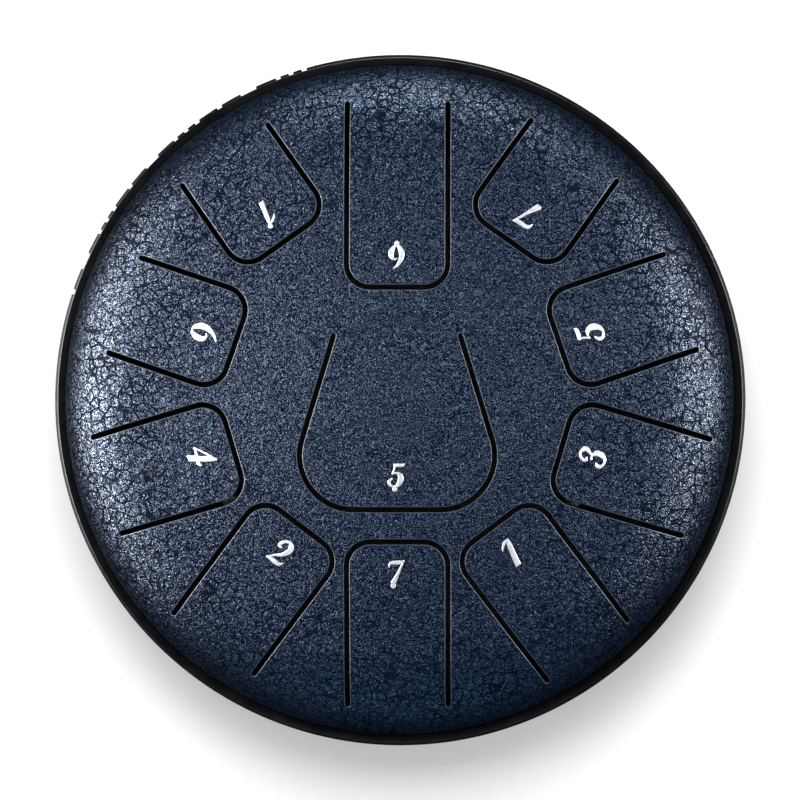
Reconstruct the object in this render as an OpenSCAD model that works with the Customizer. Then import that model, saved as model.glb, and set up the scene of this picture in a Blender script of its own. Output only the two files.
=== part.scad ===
// Eleven-note steel tongue drum: two pressed steel shells joined at a rubber-trimmed seam,
// eleven cut tongues on the playing face, and three screwed rubber feet.
// The origin is the middle of the footprint, with +Z up and the playing face on top.

/* [Shells] */
// Outer radius of the upright wall
wall_r = 74.5; // [74:0.1:74.8]
// Thickness of the steel sheet
sheet_t = 1.5; // [1.2:0.1:1.8]
// Rise of the playing face above the seam
top_rise = 36; // [34:0.5:40]
// Drop of the underside below the seam
bottom_drop = 34; // [33:0.5:38]
// Radius of the gently domed faces
face_r = 280; // [240:5:340]
// Radius of the shoulders
shoulder_r = 22; // [20:0.5:23]
// Outer radius of the flanges at the seam
flange_r = 76.2; // [76:0.1:76.3]
// Diameter of the sound hole in the underside
sound_hole_d = 32; // [24:1:50]

/* [Tongues] */
// Width of the laser-cut slots
slot_w = 1.15; // [0.8:0.05:1.4]
// Corner radius of the rim tongues, to the middle of the slot
rim_corner_r = 5.2; // [4:0.1:6]
// Width of the rim tongues, between the middles of the slots
rim_tongue_w = 22; // [20:0.5:23]
// Width of the two highest tongues
short_tongue_w = 23; // [20:0.5:24]

/* [Note labels] */
// Overall height of a label, with its octave dot
label_h = 6.2; // [4:0.1:7]
// Diameter of an octave dot
dot_d = 1.1; // [0.8:0.1:1.4]
// Thickness of a label
label_t = 0.25; // [0.15:0.05:0.4]
// Distance from a tongue's tip to the middle of its label
label_inset = 7; // [6:0.1:8]

/* [Seam] */
// Thickness of the adhesive seal between the flanges
seal_t = 0.5; // [0.3:0.1:0.8]
// Height of the rubber edge trim
trim_h = 8; // [7:0.5:9]
// Outer radius of the trim's wall
trim_r = 76.9; // [76.7:0.1:77]
// Outer radius of the trim's raised band
band_r = 77.5; // [77.3:0.1:77.8]

/* [Feet] */
// Gap between the underside and the ground
foot_clear = 8; // [7.5:0.5:12]
// Radius of the circle that the feet stand on
foot_ring_r = 46; // [42:0.5:48]
// Radius of a foot where it meets the ground
foot_r = 8.5; // [7.5:0.1:9]
// Thread diameter of the foot screws
screw_d = 4; // [3:0.5:4]

/* [Hidden] */
$fn = 96;
// Steps round the large circles of the faces
fine_fn = 1080;

navy = [0.13, 0.18, 0.30];
silver = [0.82, 0.83, 0.86];
rubber_black = [0.07, 0.07, 0.08];
zinc = [0.62, 0.63, 0.65];
nylon_black = [0.10, 0.10, 0.11];
oxide_black = [0.13, 0.13, 0.14];

// Heights above the ground
seam_z = foot_clear + bottom_drop;
apex_z = seam_z + top_rise;
flange_face = seal_t / 2 + sheet_t;

// Middle of the shoulder arc, which is tangent to the face's sphere and to the wall
shoulder_x = wall_r - shoulder_r;
shoulder_drop = face_r - sqrt(pow(face_r - shoulder_r, 2) - pow(shoulder_x, 2));
face_lean = asin(shoulder_x / (face_r - shoulder_r));
flange_fillet = 0.5;
ball_depth = 30;
ball_margin = 4;

// One row for each tongue: name, direction from tip to root, distance from the drum's middle to
// the tip along that direction, length, width at the tip, lean of each side, corner radius,
// digit, and octave (-1 low, 0 middle, 1 high)
TONGUES = [
    ["low_5", 90, -24, 38.2, 50.5, 17, 11.75, "5", -1],
    ["low_6", 90, 24.2, 41, rim_tongue_w, 0, rim_corner_r, "6", -1],
    ["low_7", -90, 31, 36.5, rim_tongue_w, 0, rim_corner_r, "7", -1],
    ["1", -53, 34.6, 35, rim_tongue_w, 0, rim_corner_r, "1", 0],
    ["2", -127, 34.6, 33, rim_tongue_w, 0, rim_corner_r, "2", 0],
    ["3", -16.5, 37.2, 31.4, rim_tongue_w, 0, rim_corner_r, "3", 0],
    ["4", -163.5, 37.2, 29.8, rim_tongue_w, 0, rim_corner_r, "4", 0],
    ["5", 19, 37.2, 28.6, rim_tongue_w, 0, rim_corner_r, "5", 0],
    ["6", 161, 37.2, 26.4, rim_tongue_w, 0, rim_corner_r, "6", 0],
    ["7", 54.7, 42.1, 25.2, short_tongue_w, 0, rim_corner_r, "7", 0],
    ["high_1", 125.3, 42.1, 24, short_tongue_w, 0, rim_corner_r, "1", 1]];
arc_steps = 12;
root_gap = 0.04;
glue_t = 0.03;
cut_top = apex_z + 5;
cut_bottom = seam_z + 6;

// Pen strokes of each digit: knots [x, y, width] in tenths of its height, about its middle, and
// last in each row the sideways place of its octave dot
STROKES = [
    ["1", [
        [[-2.6, 2.3, 0.3], [-1.6, 3.5, 0.9], [0, 4.5, 1], [1.4, 4.8, 0.4]],
        [[1.15, 4.5, 0.9], [0.55, 2.4, 1.75], [-0.35, -1.4, 2], [-1.3, -5.6, 2.2]]], 1.4],
    ["2", [
        [[-0.9, 1.35, 0.5], [-1.75, 1.25, 1.1], [-2.15, 2.2, 1.25], [-1.2, 3.7, 1.1], [0.4, 4.35, 1.15],
         [1.8, 3.3, 1.8], [1.9, 1.6, 2], [0.6, -0.6, 1.35], [-1.5, -2.4, 0.85], [-3.1, -4.5, 0.6]],
        [[-3.1, -4.2, 0.9], [-1.6, -4.05, 1.5], [0.6, -4.2, 1.6], [1.9, -3.9, 1.2], [2.7, -2.7, 0.3]]], 0],
    ["3", [
        [[-0.7, 2, 0.5], [-1.55, 1.95, 1.1], [-1.95, 2.8, 1.2], [-1.1, 4.1, 1], [0.5, 4.5, 1],
         [1.85, 3.6, 1.65], [1.85, 2.4, 1.6], [0.5, 0.7, 0.6]],
        [[-0.9, 0.25, 0.9], [0.2, 0.3, 0.8], [1.5, -0.7, 1.7], [1.6, -2.4, 2.1], [0.4, -4.3, 1.1],
         [-1.2, -4.45, 0.9], [-2.5, -3.7, 1.2], [-2.6, -2.5, 1.35], [-1.7, -1.75, 0.5]]], 0],
    ["4", [
        [[2.5, 4.7, 0.4], [0.3, 2.6, 0.8], [-2.1, 0.1, 0.75], [-3.7, -1.7, 0.6]],
        [[-3.7, -1.6, 0.6], [-1, -1.7, 1.15], [1.8, -1.85, 1.35], [2.9, -0.9, 0.3]],
        [[2.2, 4.4, 1.1], [1.3, 1.7, 1.9], [0.1, -2, 2.1], [-1.2, -5.6, 2.3]]], 0],
    ["5", [
        [[-0.9, 4.2, 1.3], [1, 4.1, 1.5], [2.5, 4.2, 1.2], [3.1, 4.7, 0.4]],
        [[-0.7, 4.3, 0.8], [-1.15, 2.3, 0.75], [-1.8, 0.6, 0.65]],
        [[-1.9, 0.7, 0.5], [-0.3, 1, 0.9], [1.2, 0.2, 1.8], [1.6, -1.6, 2.4], [0.7, -3.6, 1.8],
         [-1, -4.5, 0.9], [-2.7, -4, 1.1], [-3.25, -2.7, 1.4], [-2.4, -1.5, 1], [-1.8, -1.35, 0.4]]], -0.9],
    ["6", [
        [[1.6, 4.75, 0.5], [-0.3, 3.2, 1.3], [-1.7, 0.6, 2], [-1.85, -1.9, 2.3], [-0.9, -4, 1.5],
         [0.5, -4.7, 0.5]],
        [[0, 0.5, 0.4], [1, 0.95, 0.9], [2.3, -0.2, 1.9], [2.3, -2.2, 2.2], [1.4, -4, 1.4],
         [0.3, -4.75, 0.4]]], 0.1],
    ["7", [
        [[-3.3, 2, 0.4], [-2.9, 3.4, 1.1], [-1.6, 3.95, 1.5], [0.8, 4, 1.6], [2.3, 4.3, 1.2], [3, 4.75, 0.4]],
        [[2.9, 4.7, 0.5], [1.7, 2.4, 0.9], [0.5, -0.3, 1.2], [-0.7, -2.7, 1.8], [-1.5, -4.2, 2.1]]], -1.6]];
glyph_w = 12;
dot_overlap = 0.2;
knot_steps = 4;
cap_steps = 4;

// Blocks of the trim's outer band: one run of them [start angle, width], where the first run starts,
// and the arc in which the gaps between blocks are cut
BLOCK_RUN = [[0, 3.8], [4.5, 3.8], [9, 1.65], [11.25, 1.65], [13.5, 3.8]];
run_angle = 20;
first_run = 97.5;
last_run = 3;
cut_arc = [104, 164];
band_root = 0.3;
band_land = 1;
lip_inner_r = 75;
lip_slope = 0.6;

// Foot hardware
FEET = [["foot_back", 90], ["foot_left", 210], ["foot_right", 330]];
foot_top_r = 10;
foot_edge_r = 1.5;
foot_blank_h = 10;
recess_r = 4.8;
recess_h = 4.2;
cup_washer_t = 0.8;
screw_head_h = 2.4;
screw_head_r = 3.6;
drive_r = 1.2;
drive_h = 1.4;
bolt_play = 0.15;
thread_play = 0.02;
nylon_t = 1.2;
nylon_r = 5.6;
nut_h = 3.2;
nut_r = 4.04;
shank_proud = 1.4;
bore_play = 0.25;
inner_face_z = foot_clear + face_r - sqrt(pow(face_r - sheet_t, 2) - pow(foot_ring_r + nylon_r, 2));
nut_z = inner_face_z + nylon_t;
shank_top = nut_z + nut_h + shank_proud;

// ---- Shells ----

// Ball of the face's radius, inset by a distance, from its top at z = 0 down, within a radius
module face_ball(inset) {
    rotate_extrude() intersection() {
        translate([0, -face_r]) circle(face_r - inset, $fn = fine_fn);
        translate([0, -ball_depth]) square([shoulder_x + ball_margin, 2 * ball_depth]);
    }
}

// Half outline of a closed dome that rises from z = 0, inset by a distance
module dome_outline(rise, inset) {
    face_z = rise - face_r;
    shoulder_z = rise - shoulder_drop;
    intersection() {
        translate([0, face_z]) circle(face_r - inset, $fn = fine_fn);
        polygon([[0, 0], [0, rise + 1], [shoulder_x + (face_r - shoulder_z) * tan(face_lean), face_r],
            [shoulder_x, shoulder_z], [shoulder_x, 0]]);
    }
    translate([shoulder_x, shoulder_z]) intersection() {
        circle(shoulder_r - inset);
        square(shoulder_r + 1);
    }
    square([wall_r - inset, shoulder_z]);
}

module flange_outline() {
    translate([wall_r - sheet_t, seal_t / 2]) square([flange_r - wall_r + sheet_t, sheet_t]);
    translate([wall_r, flange_face]) difference() {
        square(flange_fillet);
        translate([flange_fillet, flange_fillet]) circle(flange_fillet);
    }
}

// Pressed shell above z = 0, open below
module pressed_shell(rise) {
    rotate_extrude() {
        difference() {
            dome_outline(rise, 0);
            dome_outline(rise, sheet_t);
            square([wall_r + 1, seal_t / 2]);
        }
        flange_outline();
    }
}

// ---- Tongues ----

// Points along an arc
function arc(centre, r, from, to) = [
    for (k = [0:arc_steps]) let (a = from + (to - from) * k / arc_steps) centre + r * [cos(a), sin(a)]];

// Tongue outline in its own direction, grown outwards, up to its root line
module tongue_outline(t, grow, root_back = 0) {
    lean = t[5];
    r = t[6];
    long = t[3] - root_back;
    centre_y = t[4] / 2 - r / tan((90 - lean) / 2);
    root_y = t[4] / 2 - long * tan(lean) + grow / cos(lean);
    translate([t[2], 0]) polygon(concat(
        arc([r, -centre_y], r + grow, lean - 90, -180),
        arc([r, centre_y], r + grow, 180, 90 - lean),
        [[long, root_y], [long, -root_y]]));
}

module tongue_prism(t, grow, root_back = 0) {
    rotate(t[1]) translate([0, 0, cut_bottom]) linear_extrude(cut_top - cut_bottom)
        tongue_outline(t, grow, root_back);
}

module top_shell() {
    color(navy) difference() {
        translate([0, 0, seam_z]) pressed_shell(top_rise);
        for (t = TONGUES) tongue_prism(t, slot_w / 2);
    }
}

module tongue(t) {
    color(navy) intersection() {
        translate([0, 0, seam_z]) pressed_shell(top_rise);
        tongue_prism(t, -slot_w / 2, root_gap);
    }
}

// ---- Note labels ----

function clamped(list, i) = list[max(0, min(len(list) - 1, i))];
function spline(a, b, c, d, u) =
    (2 * b + (c - a) * u + (2 * a - 5 * b + 4 * c - d) * u * u + (3 * b - a - 3 * c + d) * pow(u, 3)) / 2;
function pen_path(s) = [
    for (i = [0:len(s) - 2], k = [0:knot_steps - 1])
        spline(clamped(s, i - 1), s[i], s[i + 1], clamped(s, i + 2), k / knot_steps),
    s[len(s) - 1]];
function along(p, i) = let (d = clamped(p, i + 1) - clamped(p, i - 1)) atan2(d.y, d.x);
function edge_point(p, i, turn) = [p[i].x, p[i].y] + p[i].z / 2 * [cos(along(p, i) + turn), sin(along(p, i) + turn)];
function pen_outline(p) = let (last = len(p) - 1) concat(
    [for (i = [0:last]) edge_point(p, i, -90)],
    [for (k = [1:cap_steps - 1]) edge_point(p, last, 180 * k / cap_steps - 90)],
    [for (i = [last:-1:0]) edge_point(p, i, 90)],
    [for (k = [1:cap_steps - 1]) edge_point(p, 0, 180 * k / cap_steps + 90)]);

// A low note's dot stands below its digit, and a high note's above
module label_outline(t) {
    octave = t[8];
    glyph = STROKES[search([t[7]], STROKES)[0]];
    digit_h = octave == 0 ? label_h : label_h - dot_d + dot_overlap;
    translate([0, -octave * (label_h - digit_h) / 2]) scale(digit_h / 10) intersection() {
        union() for (s = glyph[1]) polygon(pen_outline(pen_path(s)));
        square([glyph_w, 10], center = true);
    }
    if (octave != 0) translate([glyph[2] * digit_h / 10, octave * (label_h - dot_d) / 2]) circle(d = dot_d);
}

// A rim tongue's label is read with the drum's middle upwards, the middle one's from its tip
module note_label(t) {
    up = t[2] < 0 ? 0 : 180;
    color(silver) intersection() {
        rotate(t[1]) translate([t[2] + label_inset, 0, cut_bottom]) rotate(up - 90)
            linear_extrude(cut_top - cut_bottom) label_outline(t);
        translate([0, 0, apex_z]) difference() {
            face_ball(-glue_t - label_t);
            face_ball(-glue_t);
        }
    }
}

// ---- Seam ----

module seam_seal() {
    color("dimgray") translate([0, 0, seam_z - seal_t / 2]) difference() {
        cylinder(r = flange_r, h = seal_t);
        translate([0, 0, -1]) cylinder(r = wall_r - sheet_t, h = seal_t + 2);
    }
}

// Rubber channel pressed over both flanges, with a raised band that is cut into blocks along one arc
module edge_trim() {
    half_h = trim_h / 2;
    color(rubber_black) translate([0, 0, seam_z]) {
        rotate_extrude() difference() {
            polygon([[lip_inner_r, half_h - lip_slope], [trim_r, half_h], [trim_r, -half_h],
                [lip_inner_r, lip_slope - half_h]]);
            translate([0, -flange_face]) square([flange_r, 2 * flange_face]);
        }
        translate([0, 0, band_land - half_h]) linear_extrude(trim_h - 2 * band_land) difference() {
            circle(band_r);
            circle(trim_r - band_root);
            for (run = [0:last_run], i = [0:len(BLOCK_RUN) - 1]) block_gap(first_run + run * run_angle, i);
        }
    }
}

// Wedge between one block of a run and the next, where it lies in the cut arc
module block_gap(start, i) {
    from = start + BLOCK_RUN[i][0] + BLOCK_RUN[i][1];
    to = start + (i + 1 < len(BLOCK_RUN) ? BLOCK_RUN[i + 1][0] : run_angle);
    reach = 2 * band_r;
    if (from > cut_arc[0] && from < cut_arc[1])
        polygon([[0, 0], reach * [cos(from), sin(from)], reach * [cos(to), sin(to)]]);
}

// ---- Underside and feet ----

module at_each_foot() {
    for (f = FEET) rotate(f[1]) translate([foot_ring_r, 0, 0]) children();
}

module bottom_shell() {
    color(navy) difference() {
        translate([0, 0, seam_z]) mirror([0, 0, 1]) pressed_shell(bottom_drop);
        cylinder(d = sound_hole_d, h = seam_z);
        at_each_foot() cylinder(r = screw_d / 2 + bore_play, h = seam_z);
    }
}

// Rubber foot whose top follows the underside
module foot(f) {
    blank_h = foot_clear + foot_blank_h;
    color(rubber_black) rotate(f[1]) difference() {
        translate([foot_ring_r, 0, 0]) difference() {
            rotate_extrude() union() {
                polygon([[0, 0], [foot_r - foot_edge_r, 0], [foot_r - foot_edge_r, foot_edge_r],
                    [foot_r, foot_edge_r], [foot_top_r, blank_h], [0, blank_h]]);
                translate([foot_r - foot_edge_r, foot_edge_r]) circle(foot_edge_r);
            }
            translate([0, 0, -1]) cylinder(r = recess_r, h = recess_h + 1);
            cylinder(r = screw_d / 2 + bolt_play, h = blank_h + 1);
        }
        translate([0, 0, foot_clear]) mirror([0, 0, 1]) face_ball(0);
    }
}

module foot_cup_washers() {
    color(zinc) at_each_foot() translate([0, 0, recess_h - cup_washer_t]) difference() {
        cylinder(r = recess_r - bolt_play, h = cup_washer_t);
        translate([0, 0, -1]) cylinder(r = screw_d / 2 + bolt_play, h = cup_washer_t + 2);
    }
}

module foot_screws() {
    head_top = recess_h - cup_washer_t;
    color(zinc) at_each_foot() difference() {
        union() {
            translate([0, 0, head_top - screw_head_h]) cylinder(r = screw_head_r, h = screw_head_h);
            translate([0, 0, head_top - 1]) cylinder(d = screw_d, h = shank_top - head_top + 1);
        }
        translate([0, 0, head_top - screw_head_h - 1]) for (a = [0, 90]) rotate(a)
            translate([-2 * drive_r, -drive_r / 3, 0]) cube([4 * drive_r, 2 * drive_r / 3, drive_h + 1]);
    }
}

// Nylon washers whose undersides follow the inside of the shell
module inner_washers() {
    color(nylon_black) intersection() {
        at_each_foot() difference() {
            translate([0, 0, foot_clear]) cylinder(r = nylon_r, h = nut_z - foot_clear);
            cylinder(r = screw_d / 2 + bolt_play, h = seam_z);
        }
        translate([0, 0, foot_clear]) mirror([0, 0, 1]) face_ball(sheet_t);
    }
}

module foot_nuts() {
    color(oxide_black) at_each_foot() translate([0, 0, nut_z]) difference() {
        cylinder(r = nut_r, h = nut_h, $fn = 6);
        translate([0, 0, -1]) cylinder(r = screw_d / 2 + thread_play, h = nut_h + 2);
    }
}

// ---- Nodes ----

top_shell();
for (t = TONGUES) {
    tongue(t);
    note_label(t);
}
seam_seal();
edge_trim();
bottom_shell();
for (f = FEET) foot(f);
foot_cup_washers();
foot_screws();
inner_washers();
foot_nuts();
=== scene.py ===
"""Looks of an eleven-note steel tongue drum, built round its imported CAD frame.

Shapes are worked out in millimetres, in the frame's own axes, and scaled to metres as each mesh is made.
"""
import math

import bmesh
import bpy
import numpy as np
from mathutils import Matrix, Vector
from mathutils.geometry import delaunay_2d_cdt


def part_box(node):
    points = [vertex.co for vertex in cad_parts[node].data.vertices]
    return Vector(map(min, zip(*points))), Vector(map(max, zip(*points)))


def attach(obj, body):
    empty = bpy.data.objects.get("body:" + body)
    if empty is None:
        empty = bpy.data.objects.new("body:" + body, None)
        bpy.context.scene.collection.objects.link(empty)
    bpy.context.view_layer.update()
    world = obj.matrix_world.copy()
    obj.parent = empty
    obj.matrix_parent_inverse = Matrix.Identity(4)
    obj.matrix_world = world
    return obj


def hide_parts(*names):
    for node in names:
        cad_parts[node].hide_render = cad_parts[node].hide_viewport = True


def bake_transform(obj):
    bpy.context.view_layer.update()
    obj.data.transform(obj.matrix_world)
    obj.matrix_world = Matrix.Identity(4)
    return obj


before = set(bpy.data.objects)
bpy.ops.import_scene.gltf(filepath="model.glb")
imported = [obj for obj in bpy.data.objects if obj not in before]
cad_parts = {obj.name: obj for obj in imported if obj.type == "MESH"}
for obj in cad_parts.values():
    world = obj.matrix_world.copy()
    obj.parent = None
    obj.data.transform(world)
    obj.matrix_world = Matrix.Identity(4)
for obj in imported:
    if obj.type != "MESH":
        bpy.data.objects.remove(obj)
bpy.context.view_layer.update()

MM = 0.001

# ---- driving sizes in millimetres, the same as the CAD source's ----
SHEET_T = 1.5
FACE_R = 280.0        # of the ball that the playing face is part of
SHOULDER_R = 22.0
WALL_R = 74.5
FLANGE_R = 76.2
SLOT_W = 1.15
SEAL_T = 0.5
SOUND_HOLE_R = 16.0
LABEL_H = 6.2
LABEL_T = 0.25
LABEL_INSET = 7.0     # from a tongue's tip to the middle of its label
LABEL_GLUE = 0.03
DOT_R = 0.55
DOT_OVERLAP = 0.2     # of an octave dot with its digit
TRIM_R = 76.9
BAND_R = 77.5
TRIM_LIP_R = 75.0
TRIM_LIP_SLOPE = 0.6
FOOT_RING_R = 46.0
SCREW_R = 2.0
SCREW_HOLE_R = 2.25
FEET = [("foot_back", 90), ("foot_left", 210), ("foot_right", 330)]     # name, and direction in degrees

# Places read from the frame
crown_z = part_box("top_shell")[1].z / MM
nadir_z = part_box("bottom_shell")[0].z / MM
seam_z = (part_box("seam_seal")[0].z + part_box("seam_seal")[1].z) / 2 / MM
trim_half_h = (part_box("edge_trim")[1].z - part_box("edge_trim")[0].z) / 2 / MM

# One row for each tongue: name, direction from tip to root in degrees, distance from the drum's
# middle to the tip, length, width at the tip, lean of the sides, corner radius, digit, octave
TONGUES = [
    ("low_5", 90, -24, 38.2, 50.5, 17, 11.75, "5", -1),
    ("low_6", 90, 24.2, 41, 22, 0, 5.2, "6", -1),
    ("low_7", -90, 31, 36.5, 22, 0, 5.2, "7", -1),
    ("1", -53, 34.6, 35, 22, 0, 5.2, "1", 0),
    ("2", -127, 34.6, 33, 22, 0, 5.2, "2", 0),
    ("3", -16.5, 37.2, 31.4, 22, 0, 5.2, "3", 0),
    ("4", -163.5, 37.2, 29.8, 22, 0, 5.2, "4", 0),
    ("5", 19, 37.2, 28.6, 22, 0, 5.2, "5", 0),
    ("6", 161, 37.2, 26.4, 22, 0, 5.2, "6", 0),
    ("7", 54.7, 42.1, 25.2, 23, 0, 5.2, "7", 0),
    ("high_1", 125.3, 42.1, 24, 23, 0, 5.2, "1", 1)]

# ---- mesh sizes in millimetres ----
GRID = 1.8            # between the points of a domed sheet
EDGE_GAP = 1.116      # least distance of a loose point from an edge
CORNER_STEP = 0.8     # greatest step round a slot's corner
CAP_STEPS = 10        # steps round a slot's closed end
RIM_R = 72.0          # where the flat triangulation hands over to turned rings
RIM_STEPS = 288       # points round each turned ring
EDGE_R = 0.16         # paint-rounded edge of a slot
EDGE_TURNS = [math.radians(a) for a in (0, 30, 60, 90)]


# ---- small geometry helpers ----

def polar(angle_deg):
    a = math.radians(angle_deg)
    return np.array([math.cos(a), math.sin(a)])


def turned(points, angle_deg):
    c, s = polar(angle_deg)
    return points @ np.array([[c, s], [-s, c]])


def circle(steps):
    """Unit vectors evenly round a circle."""
    return np.array([polar(360 * i / steps) for i in range(steps)])


def inside(points, loop):
    """Which points lie inside a closed loop, by counting edges crossed."""
    result = np.zeros(len(points), bool)
    x, y = points[:, 0], points[:, 1]
    for (x1, y1), (x2, y2) in zip(loop, np.roll(loop, -1, axis=0)):
        if y1 != y2:
            crosses = (y1 > y) != (y2 > y)
            result ^= crosses & (x < (x2 - x1) * (y - y1) / (y2 - y1) + x1)
    return result


class Dome:
    """A pressed shell: a ball of FACE_R, a shoulder of SHOULDER_R, then an upright wall. up is 1 or -1."""

    shoulder_x = WALL_R - SHOULDER_R
    shoulder_drop = FACE_R - math.sqrt((FACE_R - SHOULDER_R) ** 2 - shoulder_x ** 2)
    face_sine = shoulder_x / (FACE_R - SHOULDER_R)

    def __init__(self, crown, up):
        self.crown, self.up = crown, up

    def surface(self, xy, inset):
        """Points of the surface above flat places xy, and the outward unit normals there."""
        r = np.hypot(xy[:, 0], xy[:, 1])
        face_r, shoulder_r = FACE_R - inset, SHOULDER_R - inset
        on_face = r <= face_r * self.face_sine
        sine = np.where(on_face, r / face_r, (r - self.shoulder_x) / shoulder_r)
        cosine = np.sqrt(1 - sine ** 2)
        drop = np.where(on_face, FACE_R - face_r * cosine, self.shoulder_drop - shoulder_r * cosine)
        out = xy / np.maximum(r, 1e-9)[:, None]
        normals = np.column_stack([out * sine[:, None], self.up * cosine])
        return np.column_stack([xy, self.crown - self.up * drop]), normals


UPPER_DOME = Dome(crown_z, 1)
LOWER_DOME = Dome(nadir_z, -1)


class Pile:
    """Points, normals and faces of one piece on their way to a mesh."""

    def __init__(self):
        self.points, self.normals, self.faces, self.kinds = [], [], [], []

    def add(self, points, normals):
        start = len(self.points)
        self.points.extend(map(tuple, points))
        self.normals.extend(map(tuple, normals))
        return list(range(start, len(self.points)))

    def face(self, corners, kind=0):
        self.faces.append(tuple(corners))
        self.kinds.append(kind)

    def strip(self, a, b, closed=False, kind=0):
        """Quads between two rows of points of equal length."""
        for i in range(len(a) if closed else len(a) - 1):
            j = (i + 1) % len(a)
            self.face((a[i], a[j], b[j], b[i]), kind)

    def mesh(self, name, materials, own_normals=True):
        """The piece as a Blender object in metres, with its faces turned outwards."""
        data = bpy.data.meshes.new(name)
        data.from_pydata([[c * MM for c in p] for p in self.points], [], self.faces)
        data.polygons.foreach_set("material_index", self.kinds)
        piece = bpy.data.objects.new(name, data)
        bpy.context.scene.collection.objects.link(piece)
        turn_outwards(data)
        for material in materials:
            data.materials.append(material)
        data.polygons.foreach_set("use_smooth", [True] * len(data.polygons))
        if own_normals:
            data.normals_split_custom_set_from_vertices(self.normals)
        return piece


def turn_outwards(data):
    b = bmesh.new()
    b.from_mesh(data)
    bmesh.ops.recalc_face_normals(b, faces=b.faces)
    b.to_mesh(data)
    b.free()


def triangulated(loops, loose, wanted):
    """Triangles over flat points. loops of (points, closed) are kept as edges, and wanted says which
    triangles stay. Returns all points, the loops as lists of indexes, and the triangles."""
    points, edges, rows = [], [], []
    for loop, closed in loops:
        start = len(points)
        row = list(range(start, start + len(loop)))
        points.extend(map(tuple, loop))
        edges.extend(zip(row, row[1:] + row[:1] if closed else row[1:]))
        rows.append(row)
    points.extend(map(tuple, loose))
    flat = [Vector(p) for p in points]
    found, _, triangles, origins, _, _ = delaunay_2d_cdt(flat, edges, [], 0, 1e-6, True)
    first = {k: i for i, origin in enumerate(origins) for k in origin}
    rows = [[first[k] for k in row] for row in rows]
    found = np.array([tuple(p) for p in found])
    triangles = np.array(triangles)
    keep = wanted(found[triangles].mean(axis=1))
    return found, rows, triangles[keep]


def polar_grid(r_max, spacing):
    """Evenly spread points on rings inside a circle."""
    points = [(0.0, 0.0)]
    rings = round(r_max / spacing)
    for i in range(1, rings):
        r = r_max * i / rings
        count = round(2 * math.pi * r / spacing)
        points.extend(r * polar(360 * (k + i % 2 / 2) / count) for k in range(count))
    return np.array(points)


def away_from(points, others, gap):
    """The points that are at least gap from every one of the others."""
    keep = np.ones(len(points), bool)
    for other in others:
        keep &= ((points - other) ** 2).sum(axis=1) > gap ** 2
    return points[keep]


# ---- slots ----

def slot_side(tongue, offset, side):
    """One side of a tongue's slot, set back into the metal: points and directions away from the slot.
    side is 1 for the shell's side, which goes round both ends of the slot, and -1 for the tongue's."""
    _, direction, tip, length, width, lean, corner_r, _, _ = tongue
    reach = SLOT_W / 2 + offset
    root_u = length - SLOT_W / 2
    corner = np.array([corner_r, width / 2 - corner_r / math.tan(math.radians(90 - lean) / 2)])
    end = np.array([root_u, width / 2 - root_u * math.tan(math.radians(lean))])
    side_out = polar(90 - lean)
    points, ways = [], []

    def put(point, way):
        points.append(point)
        ways.append(way)

    tip_steps = math.ceil(corner[1] / GRID)
    for i in range(1, tip_steps):
        put(np.array([-side * reach, corner[1] * i / tip_steps]), np.array([-1.0, 0.0]))
    arc_steps = math.ceil(corner_r * math.radians(90 + lean) / CORNER_STEP)
    for i in range(arc_steps + 1):
        way = polar(180 - (90 + lean) * i / arc_steps)
        put(corner + (corner_r + side * reach) * way, way)
    start = corner + corner_r * side_out
    side_steps = math.ceil(np.hypot(*(end - start)) / GRID)
    for i in range(1, side_steps + (side > 0)):
        put(start + (end - start) * i / side_steps + side * reach * side_out, side_out)
    if side > 0:
        for i in range(1, CAP_STEPS + 1):
            way = polar(90 - lean - (180 - lean) * i / CAP_STEPS)
            put(end + reach * way, way)
    else:
        put(end - np.array([0.0, reach]), side_out)
    upper, upper_ways = np.array(points), np.array(ways)
    flip = np.array([1.0, -1.0])
    points = np.vstack([upper[::-1] * flip, [[-side * reach, 0.0]], upper])
    ways = np.vstack([upper_ways[::-1] * flip, [[-1.0, 0.0]], upper_ways])
    points = turned(points + [tip, 0.0], direction)
    return points, side * turned(ways, direction)


def root_line(a, b):
    """Points between the two ends of a tongue's root, without the ends."""
    steps = math.ceil(np.hypot(*(b - a)) / GRID)
    return np.array([a + (b - a) * i / steps for i in range(1, steps)])


def circle_side(centre, radius, offset, steps):
    ways = circle(steps)
    return np.array(centre) + (radius + offset) * ways, ways


# ---- domed sheets ----

def edge_rows(pile, dome, side, inset, first_row):
    """Rounds an edge of the sheet: rows from the sheet's own boundary row to the middle of the cut."""
    rows = [first_row]
    down = -1 if inset == 0 else 1
    for turn in EDGE_TURNS[1:]:
        xy, ways = side(EDGE_R * (1 - math.sin(turn)))
        points, normals = dome.surface(xy, inset)
        points[:, 2] += down * dome.up * EDGE_R * (1 - math.cos(turn))
        facing = normals if inset == 0 else -normals
        facing = facing * math.cos(turn) - np.column_stack([ways, np.zeros(len(ways))]) * math.sin(turn)
        rows.append(pile.add(points, facing / np.linalg.norm(facing, axis=1)[:, None]))
    return rows


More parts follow.
